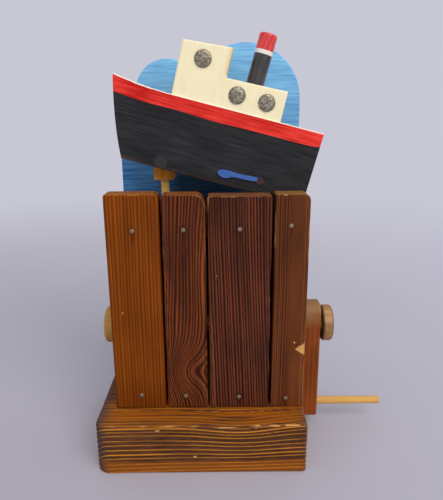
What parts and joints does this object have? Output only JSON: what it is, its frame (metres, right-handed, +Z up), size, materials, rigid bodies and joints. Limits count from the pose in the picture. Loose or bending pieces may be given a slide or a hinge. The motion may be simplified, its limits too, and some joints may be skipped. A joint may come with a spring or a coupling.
{
  "type": "wooden crank automaton",
  "caption": "Hand-cranked wooden automaton: a box of upright planks on a thick base hides cams and push rods that rock a painted boat in front of a cloud-shaped sky board.",
  "frame": {"origin": "centre of the base board's underside", "axes": "+X along the front to the crank side, +Y to the back, +Z up"},
  "size_m": [0.2332, 0.114, 0.3158],
  "materials": {
    "base_wood": "brushed and oiled softwood",
    "amber_plank": "scorched, brushed and oiled softwood",
    "brown_plank": "scorched, brushed and oiled softwood",
    "dark_plank": "scorched, brushed and oiled softwood",
    "case_wood": "stained softwood",
    "sky_paint": "brushed matt paint on wood",
    "hull_paint": "matt paint on wood",
    "cream_paint": "matt paint on wood",
    "funnel_paint": "paint on a dowel",
    "blade_paint": "paint on wood",
    "black_pin": "paint on a dowel end",
    "maroon_pin": "stained dowel",
    "dowel_wood": "bare birch dowel",
    "head_wood": "stained pine",
    "disc_wood": "stained hardwood",
    "arm_wood": "stained softwood",
    "cam_wood": "bare plywood",
    "nail_steel": "dull, weathered",
    "stud_metal": "hammered, antiqued",
    "screw_steel": "zinc plated"
  },
  "bodies": {
    "case": {"base_board": "base_wood", "front_plank_1": "amber_plank", "front_plank_2": "brown_plank", "front_plank_3": "dark_plank", "front_plank_4": "brown_plank", "plank_nails": "nail_steel", "left_side_panel": "case_wood", "right_side_panel": "case_wood", "floor_board": "case_wood", "guide_board": "case_wood", "side_nails": "nail_steel", "sky_backboard": "sky_paint", "backboard_screws": "screw_steel", "base_screws": "screw_steel"},
    "crank": {"crank_shaft": "dowel_wood", "left_cam": "cam_wood", "right_cam": "cam_wood", "left_end_disc": "disc_wood", "right_end_disc": "disc_wood", "crank_arm": "arm_wood", "crank_handle": "dowel_wood"},
    "left_lifter": {"left_push_rod": "dowel_wood", "left_rod_head": "head_wood"},
    "right_lifter": {"right_push_rod": "dowel_wood", "right_rod_head": "head_wood"},
    "boat": {"hull": "hull_paint", "left_hull_pin": "black_pin", "right_hull_pin": "maroon_pin", "pin_collars": "dowel_wood", "deckhouse": "cream_paint", "funnel": "funnel_paint", "porthole_studs": "stud_metal", "blue_blade": "blade_paint"}
  },
  "joints": [
    {"name": "crank_turn", "type": "hinge", "parent": "case", "child": "crank", "pos_m": [0, 0.0108, 0.0928], "axis": [1, 0, 0], "range_deg": [0, 180]},
    {"name": "left_lift", "type": "slide", "parent": "case", "child": "left_lifter", "axis": [0, 0, 1], "range_m": [-0.0142, 0]},
    {"name": "right_lift", "type": "slide", "parent": "case", "child": "right_lifter", "axis": [0, 0, 1], "range_m": [0, 0.0142]},
    {"name": "boat_rock", "type": "hinge", "parent": "left_lifter", "child": "boat", "pos_m": [-0.027, 0.0108, 0.229], "axis": [0, -1, 0], "range_deg": [0, 22.5]}
  ],
  "couplings": [
    {"joint": "left_lift", "follows": "crank_turn", "m_per_rad": -0.0044984},
    {"joint": "right_lift", "follows": "crank_turn", "m_per_rad": 0.0044984},
    {"joint": "boat_rock", "follows": "crank_turn", "ratio": 0.12489}
  ]
}
